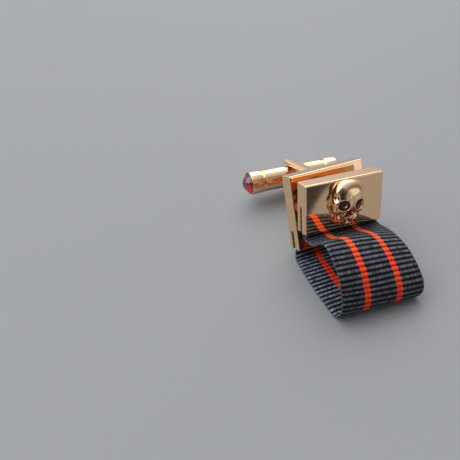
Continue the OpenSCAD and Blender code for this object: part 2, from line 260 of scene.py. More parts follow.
# %% [markdown]
# In an all white tent polished metal looks flat, so photographers stand a black card beside it. This
# one gives the block's face its dark upper corner. A full card would also show as a blot on the skull's
# forehead, so it is a corner piece whose long side is hollow, a curve drawn with one handle. It shows
# in reflections alone, as a card outside the picture would.

# %% Black card
CARD_AT, CARD_W, CARD_H, CARD_FACING = (17.3, -59.2, 12.7), 13.4, 12.6, 19
# the curve's handle, right of the card's corner and below it
HANDLE_RIGHT, HANDLE_DOWN = 5.0, 3.8
CURVE_POINTS = 12


def hide_from(piece, *rays):
    for ray in rays:
        setattr(piece, "visible_" + ray, False)


card_points = [(0, 0, 0)]
for t in np.linspace(0, 1, CURVE_POINTS):
    right = t * t * CARD_W + 2 * t * (1 - t) * HANDLE_RIGHT
    down = (1 - t) ** 2 * CARD_H + 2 * t * (1 - t) * HANDLE_DOWN
    card_points.append((right, 0, -down))
black_card, _, _ = new_finish("black_card", {"Base Color": linear("1C1C1C")})
card = mesh_piece("flag", card_points, [range(len(card_points))],
                  Matrix.Translation(CARD_AT) @ turn(CARD_FACING, "Z"), black_card)
hide_from(card, "camera", "diffuse", "shadow")
card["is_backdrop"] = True
print("card", CARD_W, "x", CARD_H, "mm")

# %% [markdown]
# A camera that looks across the floor would see the tent's dim shapes behind the cufflink. A studio
# hangs plain paper there. This backdrop is a large sphere round everything that only the camera sees,
# so the metal still mirrors the tent.

# %% Backdrop
PAPER_R = 2200

plain_paper, _, _ = new_finish("plain_paper", {
    "Base Color": linear("000000"), "Specular IOR Level": 0, "Emission Color": linear("C2C4C7"),
    "Emission Strength": 1})
paper_mesh = bpy.data.meshes.new("backdrop")
work = bmesh.new()
bmesh.ops.create_icosphere(work, subdivisions=4, radius=PAPER_R * MM)
work.to_mesh(paper_mesh)
work.free()
paper_mesh.materials.append(plain_paper)
backdrop = bpy.data.objects.new("backdrop", paper_mesh)
bpy.context.scene.collection.objects.link(backdrop)
hide_from(backdrop, "diffuse", "glossy", "transmission", "volume_scatter", "shadow")
backdrop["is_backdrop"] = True
print("backdrop", PAPER_R * MM, "m in radius")

# %% [markdown]
# The metal is brass under rose gold plate, polished to a mirror on a soft wheel. What gives the eye
# its colour is that the metal tints what it mirrors: pale once, and deep orange where light goes to
# and fro between two faces. A flat colour would look like paint, so two faint patterns break it up:
# clouds where the plate is a shade redder, and the streaks that the wheel leaves. Real streaks are finer
# than the picture shows, so they are drawn as coarse as they need to be.

# %% Rose gold
PLATE_CLOUD = 3.03
STREAK_APART, STREAK_LONG, STREAK_DEEP = 0.25, 10 / 3, 0.01


def scale_of(size):
    """The scale of a pattern in metres whose features are so many millimetres apart."""
    return 1 / (size * MM)


def rose_gold(name, hollows=False):
    material, tree, shader = new_finish(name, {"Metallic": 1})
    place = add(tree, "ShaderNodeTexCoord").outputs["Object"]
    clouds = add(tree, NOISE, {"Vector": place, "Scale": scale_of(PLATE_CLOUD), "Detail": 2})
    tint = add(tree, MIX, (clouds, linear("FBD3AA"), linear("F9CDA2")), data_type="RGBA")
    if hollows:
        # painted shade: the hollows are painted dark brown as far as the mesh's own attribute says
        painted_shade = add(tree, "ShaderNodeAttribute", attribute_name="hollow_shade").outputs["Fac"]
        tint = add(tree, MIX, (painted_shade, tint, linear("2A1C14")), data_type="RGBA")
    # the streaks are drawn out along the width
    long_way, short_way = scale_of(STREAK_LONG), scale_of(STREAK_APART)
    stretched = add(tree, "ShaderNodeMapping", {"Vector": place, "Scale": (long_way, short_way, short_way)})
    streaks = add(tree, NOISE, {"Vector": stretched, "Scale": 1, "Detail": 4})
    rough = add(tree, RANGE, {"Value": streaks, "To Min": 0.04, "To Max": 0.11})
    bump = add(tree, "ShaderNodeBump", {"Height": streaks, "Strength": 0.02, "Distance": STREAK_DEEP * MM})
    fill(shader, {"Base Color": tint, "Roughness": rough, "Normal": bump})
    return material


gold = rose_gold("rose_gold_plate")
print("made", gold.name, "from", len(gold.node_tree.nodes), "nodes")

# %% [markdown]
# The block and the plate are sawn from flat bar: a slab with a narrow slot in its lower edge for the
# ribbon. A cube with a boolean slot would do, but the side view of such a slab is a plain polygon, so
# it is drawn once and pushed out to the full width. A bevel then softens every edge, because real edges
# are never sharp, and the thin bright line that they catch is what makes metal look solid.

# %% Slab with a ribbon slot
SLOT_BACK, SLOT_WIDE = 1.9, 0.66
BLOCK_SLOT_DEEP, PLATE_SLOT_DEEP = 5.0, 3.6


def prism_faces(n):
    """Faces of a prism whose first n points are one end and whose next n are the other."""
    ends = [tuple(range(n)), tuple(reversed(range(n, 2 * n)))]
    return ends + [(k, k + n, (k + 1) % n + n, (k + 1) % n) for k in range(n)]


def slotted_slab(name, thick, height, slot_deep, place):
    front, back = SLOT_BACK - SLOT_WIDE / 2, SLOT_BACK + SLOT_WIDE / 2
    low, high = -height / 2, height / 2
    outline = [(0, low), (front, low), (front, low + slot_deep), (back, low + slot_deep),
               (back, low), (thick, low), (thick, high), (0, high)]
    points = [(x, y, z) for x in (-BLOCK_W / 2, BLOCK_W / 2) for y, z in outline]
    return mesh_piece(name, points, prism_faces(len(outline)), place, gold)


block = slotted_slab("block", BLOCK_T, BLOCK_H, BLOCK_SLOT_DEEP, block_frame)
print("block with", len(block.data.polygons), "faces before its bevel")

# %% Soft edges
EDGE_R, EDGE_STEPS, EDGE_ANGLE = 0.25, 4, 35


def apply_modifiers(piece):
    graph = bpy.context.evaluated_depsgraph_get()
    solid = bpy.data.meshes.new_from_object(piece.evaluated_get(graph))
    piece.modifiers.clear()
    piece.data = solid


def soften(piece):
    """Rounds every edge that turns by more than the edge angle."""
    bevel = piece.modifiers.new("soft_edges", "BEVEL")
    bevel.width = EDGE_R * MM
    bevel.segments = EDGE_STEPS
    bevel.limit_method = "ANGLE"
    bevel.angle_limit = math.radians(EDGE_ANGLE)
    bevel.harden_normals = True
    apply_modifiers(piece)


def count(piece):
    piece.data.calc_loop_triangles()
    print(piece.name, len(piece.data.loop_triangles), "triangles")


soften(block)
count(block)

# %% [markdown]
# The fork is a flat strap, bent twice into a long U and soldered to the block. A curve object with a
# bevel could draw it, but not its round tips. So rings of points are laid along the strap's middle line
# and joined, and near each tip the rings get narrower, which rounds the end.

# %% A skin through rings
STRAP_T, STRAP_W, STRAP_R = 0.8, 2.5, 0.36


def round_section(half_w, half_t, radius, corner_steps=5):
    """Points round a rectangle with round corners, anticlockwise."""
    r = min(radius, half_w, half_t)
    ring = []
    for sx, sy, start in ((1, 1, 0), (-1, 1, 90), (-1, -1, 180), (1, -1, 270)):
        for k in range(corner_steps + 1):
            a = math.radians(start + 90 * k / corner_steps)
            ring.append((sx * (half_w - r) + r * math.cos(a), sy * (half_t - r) + r * math.sin(a)))
    return ring


def skin_faces(rings, n):
    """Faces of a closed skin through so many rings of n points, ends included."""
    faces = [(i * n + k, i * n + (k + 1) % n, (i + 1) * n + (k + 1) % n, (i + 1) * n + k)
             for i in range(rings - 1) for k in range(n)]
    return faces + [tuple(reversed(range(n))), tuple((rings - 1) * n + k for k in range(n))]


def loft(name, rings, place):
    points = [p for ring in rings for p in ring]
    return mesh_piece(name, points, skin_faces(len(rings), len(rings[0])), place, gold)


print("the strap's section has", len(round_section(STRAP_W / 2, STRAP_T / 2, STRAP_R)), "points")

# %% Fork
FORK_L, FORK_SPAN, FORK_DROP = 17.7, 6.8, 0.72
ARM_PAST_PIVOT, SOLDERED, ELBOW_R = 1.95, 0.2, 1.5
PIVOT_Y = BLOCK_T + FORK_L
# the narrowest half width at a tip, and where rings lie: from the tip on, along the arm, in the elbow
TIP_HALF = 0.05
TIP_RINGS = np.linspace(0.02, STRAP_W / 2, 12)
ARM_RINGS = np.linspace(2, 15, 8)
ELBOW_ANGLES = np.linspace(90, 180, 10)
CLEAR_OF_ELBOW = 0.2


def fork_path():
    """Middle line of the strap as (y, z, direction angle, distance from its end)."""
    back = PIVOT_Y + ARM_PAST_PIVOT
    elbow_y = BLOCK_T - SOLDERED + ELBOW_R
    elbow_z = FORK_SPAN / 2 - ELBOW_R
    bend_r = ELBOW_R - STRAP_T / 2
    arm_z = FORK_SPAN / 2 - STRAP_T / 2
    line = [(back - t, arm_z, 180, t) for t in (*TIP_RINGS, *ARM_RINGS)
            if back - t > elbow_y + CLEAR_OF_ELBOW]
    for angle in ELBOW_ANGLES:
        a = math.radians(angle)
        line.append((elbow_y + bend_r * math.cos(a), elbow_z + bend_r * math.sin(a), angle + 90, STRAP_W))
    return line + [(y, -z, 180 - angle, t) for y, z, angle, t in reversed(line)]


def fork():
    rings = []
    for y, z, angle, from_end in fork_path():
        round_off = max(0, STRAP_W / 2 - from_end)
        half_w = math.sqrt(max((STRAP_W / 2) ** 2 - round_off ** 2, TIP_HALF ** 2))
        a = math.radians(angle)
        rings.append([(u, y - v * math.sin(a), z - FORK_DROP + v * math.cos(a))
                      for u, v in round_section(half_w, STRAP_T / 2, STRAP_R)])
    return loft("fork", rings, block_frame)


strap = fork()
count(strap)

# %% [markdown]
# The hole plate is a taller slab of the same bar with a large round hole, which slides over the fork.
# Joining a ring of points to the slab's corners by hand gives poor faces, so a boolean drills the hole.
# It comes before the bevel, so that the hole's rim is softened with the other edges.

# %% Hole plate
HOLE_D, HOLE_UP, HOLE_STEPS = 8.4, 1.35, 96
# how far the drill stands out of each face
DRILL_OUT = 1


def circle(radius, steps, turned_by=0):
    """Points on a circle, anticlockwise, the first one turned by so many degrees."""
    angles = [math.radians(turned_by + 360 * k / steps) for k in range(steps)]
    return [(radius * math.cos(a), radius * math.sin(a)) for a in angles]


plate = slotted_slab("plate", PLATE_T, PLATE_H, PLATE_SLOT_DEEP, plate_frame)
drill_points = [(x, y, HOLE_UP + z) for y in (-DRILL_OUT, PLATE_T + DRILL_OUT)
                for x, z in circle(HOLE_D / 2, HOLE_STEPS)]
drill = mesh_piece("drill", drill_points, prism_faces(HOLE_STEPS), plate_frame, gold)
cut = plate.modifiers.new("hole", "BOOLEAN")
cut.operation = "DIFFERENCE"
cut.solver = "EXACT"
cut.object = drill
apply_modifiers(plate)
bpy.data.objects.remove(drill)
soften(plate)
count(plate)

# %% [markdown]
# The toggle, its pin and the rivets are turned parts. On a lathe the cutter follows half of the section
# while the bar spins, and here that half section is drawn and spun round an axis in the same way. The
# toggle's bar has a groove beside each collar, a seat for its stone at one end and a soft round end at
# the other.

# %% Turned parts
# the radius of the small ring that closes an end
AXIS_R = 0.01


def turned(name, section, place, steps):
    """Spins (radius, height) pairs round z."""
    return loft(name, [[(x, y, h) for x, y in circle(r, steps)] for r, h in section], place)


def arc(cx, cy, r, start, end, steps):
    angles = [math.radians(start + (end - start) * k / steps) for k in range(steps + 1)]
    return [(cx + r * math.cos(a), cy + r * math.sin(a)) for a in angles]


print("a quarter turn in 4 steps:", [(round(r, 2), round(h, 2)) for r, h in arc(0, 0, 1, 0, 90, steps=4)])

# %% Toggle bar
BAR_R, COLLAR_R = 4.6 / 2, 4.9 / 2
STONE_ARM, PLAIN_ARM = 10, 10.8
COLLAR_L, PLAIN_COLLAR_L = 2.5, 3.1
GROOVE_W, GROOVE_DEEP, GROOVE_POINTS = 0.46, 0.25, 9
# the groove's round starts this many radians down its side
GROOVE_START = 0.3
# how far corners are eased: at the grooves, the collar's rim and the seat's mouth
GROOVE_EASE, RIM_EASE, MOUTH_EASE = 0.08, 0.12, 0.03
# the stone's seat, and the small slope round its floor
SEAT_R, SEAT_DEEP, SLOPE_IN, SLOPE_UP = 4.5 / 2, 1.1, 0.02, 0.05
PLAIN_END_R = 0.7
# rings between the grooves, and how far the first and last are from them
BAR_RINGS, BAR_CLEAR = 8, 1
at_pivot = block_frame @ Matrix.Translation((0, PIVOT_Y, -FORK_DROP))
along_bar = at_pivot @ turn(90, "Y")


def groove(start, radius_before, radius_after):
    """Section across a round groove, from the eased corner before it to the one after it."""
    end, ease = start + GROOVE_W, GROOVE_EASE
    hollow = [(BAR_R - GROOVE_DEEP * math.sin(a), start + GROOVE_W * (0.5 + 0.5 * math.cos(a)))
              for a in np.linspace(math.pi - GROOVE_START, GROOVE_START, GROOVE_POINTS)]
    return [*arc(radius_before - ease, start - ease, ease, 0, 90, steps=3), *hollow,
            *arc(radius_after - ease, end + ease, ease, -90, 0, steps=3)]


def bar_section():
    low, high = -STONE_ARM, PLAIN_ARM
    near, far = low + COLLAR_L, high - PLAIN_COLLAR_L
    seat = low + SEAT_DEEP
    seat_line = [(AXIS_R, seat), (SEAT_R - SLOPE_IN, seat), (SEAT_R, seat - SLOPE_UP),
                 (SEAT_R, low + MOUTH_EASE), (SEAT_R + MOUTH_EASE, low)]
    return [*seat_line, *arc(COLLAR_R - RIM_EASE, low + RIM_EASE, RIM_EASE, -90, 0, steps=6),
            *groove(near, COLLAR_R, BAR_R),
            *[(BAR_R, h) for h in np.linspace(near + BAR_CLEAR, far - BAR_CLEAR, BAR_RINGS)],
            *groove(far - GROOVE_W, BAR_R, COLLAR_R),
            *arc(COLLAR_R - PLAIN_END_R, high - PLAIN_END_R, PLAIN_END_R, 0, 90, steps=10),
            (AXIS_R, high)]


toggle = turned("toggle", bar_section(), along_bar, steps=128)
count(toggle)

# %% Pin and rivets
# the pin's ends are polished until they vanish in the strap, so they stop this far under its skin
PIN_R, UNDER_SKIN = 0.9 / 2, 0.03
PIN_END = FORK_SPAN / 2 - UNDER_SKIN
RIVET_SPAN, RIVET_UP, RIVET_R = 8.6, 2.5, 0.8 / 2
# the head, and how far it goes down to the shank
HEAD_R, HEAD_H, HEAD_UNDER = 1.1 / 2, 0.15, 0.01
# the dome's rings in radians up from its rim, and the size of its top
DOME_ANGLES = np.linspace(0.2, 1.55, 8)
DOME_TOP_R = 0.001


def rivet(name, side):
    """A rivet through the plate, its head on the front face: side is -1 for left and 1 for right."""
    middle = Matrix.Translation((side * RIVET_SPAN / 2, 0, RIVET_UP - PLATE_H / 2))
    shank = [(AXIS_R, -PLATE_T), (RIVET_R, -PLATE_T), (RIVET_R, -HEAD_UNDER), (HEAD_R, 0)]
    dome = [(HEAD_R * math.cos(a), HEAD_H * math.sin(a)) for a in DOME_ANGLES]
    section = [*shank, *dome, (DOME_TOP_R, HEAD_H)]
    return turned(name, section, plate_frame @ middle @ turn(90, "X"), steps=40)


pin_section = [(AXIS_R, -PIN_END), (PIN_R, -PIN_END), (PIN_R, PIN_END), (AXIS_R, PIN_END)]
pin = turned("pin", pin_section, at_pivot, steps=32)
rivets = [rivet("rivet_head_left", -1), rivet("rivet_head_right", 1)]
for piece in (pin, *rivets):
    count(piece)

# %% [markdown]
# The stones are round brilliants. Their facets are flat, so each one is a face of its own and none is
# smoothed. Eight star facets lie round the table, eight kites reach from it to the girdle, and sixteen
# narrow ones fill the spaces. Below the girdle the cone is cut in the same way. Each stone could be
# carved with planes, but as its corners lie on five rings, joining those is shorter.

# %% Cut stones
# where the star facets and the lower girdle facets end: share of the way out, and of the height
STAR_OUT, STAR_UP = 0.42, 0.66
LOWER_OUT, LOWER_DOWN = 0.35, 0.72


def brilliant(name, width, cut, place, material):
    """A round stone. Its cut is the table's share of the width, then crown, girdle and pavilion heights."""
    r = width / 2
    table, crown, girdle, pavilion = cut
    rings = [(table * r, crown, 8, 0), ((table + (1 - table) * STAR_OUT) * r, crown * STAR_UP, 8, 22.5),
             (r, 0, 16, 0), (r, -girdle, 16, 0),
             (r * LOWER_OUT, -girdle - pavilion * LOWER_DOWN, 8, 22.5)]
    points = [(x, y, height) for radius, height, steps, turned_by in rings
              for x, y in circle(radius, steps, turned_by)]
    points.append((0, 0, -girdle - pavilion))
    # the number of each ring's first point, and of the lowest point
    top, star, upper, lower, cone, culet = 0, 8, 16, 32, 48, 56
    faces = [tuple(range(8))]
    for k in range(8):
        before, after = (k - 1) % 8, (k + 1) % 8
        left, middle, right = 2 * k, 2 * k + 1, (2 * k + 2) % 16
        faces += [
            (top + k, star + k, top + after),
            (top + k, star + before, upper + left, star + k),
            (star + k, upper + left, upper + middle),
            (star + k, upper + middle, upper + right),
            (lower + left, cone + k, lower + middle),
            (lower + middle, cone + k, lower + right),
            (lower + left, cone + before, culet, cone + k),
        ]
    faces += [(upper + k, lower + k, lower + (k + 1) % 16, upper + (k + 1) % 16) for k in range(16)]
    stone = mesh_piece(name, points, faces, place, material, smooth=False)
    work = bmesh.new()
    work.from_mesh(stone.data)
    bmesh.ops.recalc_face_normals(work, faces=work.faces)
    work.to_mesh(stone.data)
    work.free()
    return stone


print("facets of a brilliant:", 1 + 8 * 7 + 16, "with the girdle's")

# %% [markdown]
# The toggle's stone is a red corundum and the eyes are garnets, all polished, so light goes in, turns
# round on the facets and comes out red. That needs real transmission and the stone's own refraction,
# because a painted red would stay flat. Silk, the fine inclusions that cloud a real stone, makes it
# darker in patches about 1 mm across.

# %% Gems
SILK_PATCH, SILK_SHADE = 1.111, 0.6
# the table's share of the width, and the heights of crown, girdle and pavilion
RUBY_CUT = 0.44, 1.05, 0.12, 0.85
# the gap between the stone and its seat
SEAT_GAP = 0.03


def gem(name, colour, ior):
    material, tree, shader = new_finish(name, {"Roughness": 0.02, "IOR": ior, "Transmission Weight": 1})
    place = add(tree, "ShaderNodeTexCoord").outputs["Object"]
    silk = add(tree, NOISE, {"Vector": place, "Scale": scale_of(SILK_PATCH), "Detail": 3})
    clear = linear(colour)
    cloudy = (*[SILK_SHADE * c for c in clear[:3]], 1)
    fill(shader, {"Base Color": add(tree, MIX, (silk, clear, cloudy), data_type="RGBA")})
    return material


ruby = gem("ruby", "A80026", 1.76)
# a garnet's own IOR is about 1.75, and the eyes were matched to the photograph with less
garnet = gem("garnet", "980A1E", 1.5)
in_seat = along_bar @ Matrix.Translation((0, 0, -STONE_ARM)) @ turn(180, "X")
toggle_stone = brilliant("ruby_stone", 2 * (SEAT_R - SEAT_GAP), RUBY_CUT, in_seat, ruby)
count(toggle_stone)

# %% [markdown]
# The skull is cast, so it has no flat and no sharp edge: bone swells out of bone. It could be sculpted
# by hand, but a distance function can be read and changed. Each swelling is an ellipsoid, each hollow
# is one that is taken away, and both melt into their neighbours over a given radius. Everything on the
# right is the mirror of the left, so only half of the forms are listed.

# %% Forms of the skull
# middle as x, out and z, then the radii along them, in mm from the middle of the block's face
# the cranium's last number squares its corners, where 2 is an ellipsoid
CRANIUM = ((0.0, 0.62, 1.75), (3.05, 1.85, 3.02), 2.35)
# the last number is the radius over which a bone melts into the others
BONES = {
    "brow": ((0.95, 1.62, 1.62), (1.15, 0.62, 0.42), 0.45),
    "root of the nose": ((0.0, 1.55, 0.55), (0.42, 0.72, 0.95), 0.40),
    "cheekbone": ((2.20, 1.00, -0.68), (0.86, 0.80, 0.66), 0.45),
    "outer rim of the eye": ((2.62, 1.05, 0.55), (0.50, 0.80, 1.20), 0.35),
    "upper jaw": ((0.75, 0.42, -2.05), (1.15, 1.15, 1.80), 0.45),
    "side of the jaw": ((1.48, 0.30, -1.40), (1.45, 0.86, 2.06), 0.50),
}
# then how dark its floor is painted, painted shade for the little light that reaches it
HOLLOWS = {
    "eye socket": ((1.52, 2.10, 0.42), (1.06, 1.04, 1.02), 0.14, 0.75),
    "upper nose": ((0.15, 1.75, -1.20), (0.32, 1.05, 0.62), 0.12, 1.0),
    "lower nose": ((0.38, 1.65, -1.86), (0.40, 1.00, 0.46), 0.12, 1.0),
    "under the cheekbone": ((1.60, 1.60, -1.80), (0.52, 0.66, 0.80), 0.50, 0.0),
    "temple": ((2.96, 1.72, 1.95), (0.46, 0.72, 0.86), 0.18, 0.0),
}
# the bone between the two halves of the nose
SEPTUM = ((0.0, 0.60, -1.65), (0.10, 0.80, 0.75), 0.08)
# a raised ring round each socket: middle, radius, thickness, how far its outer side lies back, melting
RIM = (1.52, 1.86, 0.42), 1.08, 0.17, 0.42, 0.22
TEETH, TOOTH_PITCH, TOOTH, TOOTH_SOFT = 7, 0.43, (0.20, 0.25, 0.38), 0.12
# the row's height and how far out it lies, and how both change with the square of the distance
TEETH_LOW, TEETH_RISE, TEETH_OUT, TEETH_BACK = -3.38, 0.05, 1.18, 0.18
print("forms:", ", ".join([*BONES, *HOLLOWS]))

# %% Distance to the skull's surface
def ellipsoid(p, centre, radii, square=2.0):
    q = np.abs(p - np.float32(centre)) / np.float32(radii)
    from_middle = (q ** square).sum(-1) ** (1 / square)
    if square != 2.0:
        return (from_middle - 1) * min(radii)
    slope = np.linalg.norm(q / np.float32(radii), axis=-1)
    return from_middle * (from_middle - 1) / np.maximum(slope, 1e-6)


def melt(a, b, radius):
    """The nearer of two distances, rounded where they are alike. A minus b is -melt(-a, b)."""
    h = np.clip(0.5 + 0.5 * (b - a) / radius, 0, 1)
    return b + (a - b) * h - radius * h * (1 - h)


def folded(p):
    """Points with the left half laid over the right one."""
    return np.stack([np.abs(p[..., 0]), p[..., 1], p[..., 2]], -1)


def socket_rim(half):
    (x, out, z), radius, thick, slope, _ = RIM
    lean = out - slope * (half[..., 0] - x)
    from_ring = np.hypot(half[..., 0] - x, half[..., 2] - z) - radius
    return np.hypot(from_ring, half[..., 1] - lean) - thick


def skull_distance(p):
    half = folded(p)
    d = ellipsoid(half, *CRANIUM)
    for centre, radii, soft in BONES.values():
        d = melt(d, ellipsoid(half, centre, radii), soft)
    d = melt(d, socket_rim(half), RIM[-1])
    for centre, radii, soft, _ in HOLLOWS.values():
        d = -melt(-d, ellipsoid(half, centre, radii), soft)
    centre, radii, soft = SEPTUM
    d = melt(d, ellipsoid(half, centre, radii), soft)
    for k in range(TEETH // 2 + 1):
        x = k * TOOTH_PITCH
        tooth = (x, TEETH_OUT - TEETH_BACK * x * x, TEETH_LOW + TEETH_RISE * x * x)
        d = melt(d, ellipsoid(half, tooth, TOOTH), TOOTH_SOFT)
    return d


left = float(skull_distance(np.float32([[0, 4, 0]]))[0])
print("a point 4 mm before the block's face is", round(left, 2), "mm from the bone")

# %% [markdown]
# Marching over a grid would leave steps in the mirror finish. Rays that find the surface ring by ring
# give an even mesh. They start 4 mm behind the face of the block, so that they run down the walls of the
# sockets and not across them. Each ray walks inwards from outside by the distance that is left, which
# can't step through a wall. The last ring sits a little inside the block, where the solder would be.

# %% Rays
RAY_START, RAY_UP, RAY_REACH = -4.0, 0.3, 7
# a step is a little less than the distance left, because an ellipsoid's distance is not quite exact
STEP_SHARE, MOST_STEPS, NEAR_ENOUGH = 0.8, 260, 0.0006


def walk(origin, ways, reach):
    far = np.full(len(ways), reach, np.float32)
    todo = np.arange(len(ways))
    for _ in range(MOST_STEPS):
        left = skull_distance(origin + far[todo, None] * ways[todo])
        far[todo] -= STEP_SHARE * left
        todo = todo[np.abs(left) > NEAR_ENOUGH]
        if not len(todo):
            break
    return far


ahead = walk(np.float32((0, RAY_START, RAY_UP)), np.float32([(0, 1, 0)]), RAY_REACH)
print("the ray straight ahead ends", round(float(ahead[0]) + RAY_START, 2), "mm before the block's face")

# %% [markdown]
# The floors of the eyes and the nose are painted dark, painted shade for the little light that reaches
# deep into them. Dark that is painted on by hand would be lost whenever the shape changes. So each point
# of the mesh stores how dark its painted shade is, worked out from the same hollows, and the material
# reads that.

# %% Painted shade in the hollows
# shares of a hollow's radius: how far below its middle the painted shade starts, and over what depth it
# grows full
SHADE_FROM, SHADE_OVER = 0.2, 0.45
# seen from the front: the most painted shade where the hollow ends, and how fast that grows inwards
SHADE_AT_END, SHADE_GROWS = 0.3, 5


def hollow_shade(p):
    """How dark the painted shade is at points on the surface: full on a hollow's floor, none above it."""
    half = folded(p)
    painted_shade = np.zeros(len(p), np.float32)
    for (x, out, z), (rx, ry, rz), _, share in HOLLOWS.values():
        from_middle = np.hypot((half[..., 0] - x) / rx, (half[..., 2] - z) / rz)
        deep = np.clip((out - SHADE_FROM * ry - half[..., 1]) / (SHADE_OVER * ry), 0, 1)
        inside = np.clip(SHADE_AT_END + SHADE_GROWS * (1 - from_middle), 0, 1)
        painted_shade = np.maximum(painted_shade, share * deep * inside)
    return painted_shade


print("black in an eye:", round(float(hollow_shade(np.float32([[1.52, 1.2, 0.42]]))[0]), 2))

# %% Skull
SKULL_MIDDLE, SKULL_ROLL = 0.06, 4.0
SUNK = 0.08
ROUND, RINGS = 400, 190
# under 1 puts the rings closer together towards the skull's sides
RING_SPREAD = 0.92
SIDE_REACH = 6
on_face = block_frame @ Matrix.Translation((SKULL_MIDDLE, 0, 0)) @ turn(SKULL_ROLL, "Y")


def skull_points():
    angles = np.linspace(0, 2 * np.pi, ROUND, endpoint=False)
    foot = np.float32((0, -SUNK, RAY_UP))
    sideways = np.stack([np.cos(angles), 0 * angles, np.sin(angles)], -1).astype(np.float32)
    contour = walk(foot, sideways, SIDE_REACH)
    origin = np.float32((0, RAY_START, RAY_UP))
    widest = np.arctan2(contour, -SUNK - RAY_START)
    share = (np.arange(1, RINGS + 1) / RINGS)[:, None] ** RING_SPREAD
    tilt = (widest[None, :] * share).ravel()
    round_way = np.tile(angles, RINGS)
    ways = np.stack([np.sin(tilt) * np.cos(round_way), np.cos(tilt), np.sin(tilt) * np.sin(round_way)], -1)
    ways = np.vstack([(0, 1, 0), ways]).astype(np.float32)
    surface = origin + walk(origin, ways, RAY_REACH)[:, None] * ways
    return np.vstack([surface, foot[None]])


def skull_faces(last):
    faces = [(0, 1 + k, 1 + (k + 1) % ROUND) for k in range(ROUND)]
    for a in range(1, 1 + (RINGS - 1) * ROUND, ROUND):
        b = a + ROUND
        faces += [(a + k, b + k, b + (k + 1) % ROUND, a + (k + 1) % ROUND) for k in range(ROUND)]
    outer = 1 + (RINGS - 1) * ROUND
    return faces + [(outer + k, last, outer + (k + 1) % ROUND) for k in range(ROUND)]


def skull():
    points = skull_points()
    # y runs back in the block's frame and out in the skull's
    outwards = Matrix.Scale(-1, 4, (0, 1, 0))
    cast = rose_gold("rose_gold_cast", hollows=True)
    piece = mesh_piece("skull_relief", points, skull_faces(len(points) - 1), on_face @ outwards, cast)
    layer = piece.data.attributes.new("hollow_shade", "FLOAT", "POINT")
    layer.data.foreach_set("value", hollow_shade(points).astype(np.float32))
    return piece


relief = skull()
count(relief)
print("skull is", round(max(relief.dimensions) / MM, 2), "mm tall")

# %% [markdown]
# A garnet sits in each eye socket, small and low, so that the rim of the socket shades it. It is the
# same cut as the toggle's stone with a wider table, so the same function makes it.

# %% Eye stones
EYE_X, EYE_OUT, EYE_UP, EYE_D = 1.52, 1.40, 0.42, 1.35
EYE_CUT = 0.56, 0.24, 0.03, 0.30


def eye_stone(name, side):
    in_socket = on_face @ Matrix.Translation((side * EYE_X, -EYE_OUT, EYE_UP)) @ turn(90, "X")
    return brilliant(name, EYE_D, EYE_CUT, in_socket, garnet)


eyes = [eye_stone("garnet_left", -1), eye_stone("garnet_right", 1)]
for piece in eyes:
    count(piece)

# %% [markdown]
# Grosgrain is woven with thick cross threads under many fine lengthwise ones, which is what makes its
# ribs, and what makes it stiff enough to stand in a loop. A cloth simulation would lose the place that
# the two slots and the photograph give it. So the ribbon's line through space is a short table of
# stations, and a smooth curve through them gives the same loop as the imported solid.

# %% Ribbon stations
RIBBON_T = 1.0
LOW = RIBBON_T / 2
# middle x, left edge y, left edge z, right edge y, right edge z, rise of the middle
STATIONS = [
    (-0.32, 0.05, 6.70, 0.22, 6.77, -0.06), (-0.35, -0.58, 6.50, -0.02, 6.11, -0.14),
    (-0.35, -1.60, 6.60, -0.55, 5.30, 0.00), (-0.35, -2.70, 6.90, -1.65, 5.20, 0.05),
    (-0.40, -3.80, 7.45, -2.80, 5.60, 0.15), (-0.40, -4.80, 8.30, -4.00, 6.15, 0.25),
    (-0.40, -5.60, 9.35, -5.30, 6.55, 0.35), (-0.40, -6.35, 10.20, -6.40, 6.80, 0.40),
    (-0.40, -7.40, 10.60, -7.50, 6.95, 0.40), (-0.40, -8.60, 10.50, -8.70, 7.00, 0.40),
    (-0.40, -9.70, 10.05, -9.90, 6.90, 0.35), (-0.40, -10.80, 9.50, -11.05, 6.60, 0.35),
    (-0.40, -11.90, 8.90, -12.20, 6.15, 0.30), (-0.40, -12.80, 8.05, -13.35, 5.65, 0.30),
    (-0.45, -13.50, 7.00, -14.45, 5.05, 0.30), (-0.45, -14.10, 5.95, -15.45, 4.25, 0.30),
    (-0.45, -14.75, 4.95, -16.05, 3.30, 0.25), (-0.50, -15.15, 3.85, -16.30, 2.20, 0.20),
    (-0.55, -15.25, 2.65, -16.00, 1.15, 0.10), (-0.65, -14.95, 1.50, -15.00, 0.60, 0.00),
    (-0.75, -14.20, 0.70, -13.90, LOW, 0.00), (-0.85, -13.10, LOW, -12.90, LOW, 0.00),
    (-0.95, -10.50, LOW, -10.60, LOW, 0.00), (-1.00, -7.50, LOW, -7.80, LOW, 0.00),
    (-0.95, -4.50, LOW, -4.90, LOW, 0.00), (-0.85, -2.00, LOW, -2.20, LOW, 0.00),
    (-0.70, -0.30, LOW, 0.00, LOW, 0.00), (-0.60, 0.50, 0.72, 1.10, LOW, 0.00),
    (-0.55, 1.00, 1.15, 1.70, 0.55, 0.00),
]
# in the mouth of the block's slot the right edge sits this much higher, which starts the twist
MOUTH_SKEW = 1.2
# inside a slot the curve goes over into a straight run at the first depth, and the ribbon stops the
# second length before the slot's end
MOUTH, SLOT_END = 0.6, 0.15


def slot_row(place, z, skew=0):
    """A row inside a slot: left edge, right edge and no rise."""
    left = place @ Vector((-BLOCK_W / 2, SLOT_BACK, z)) + MIDDLE
    right = place @ Vector((BLOCK_W / 2, SLOT_BACK, z + skew)) + MIDDLE
    return (*left, *right, 0)


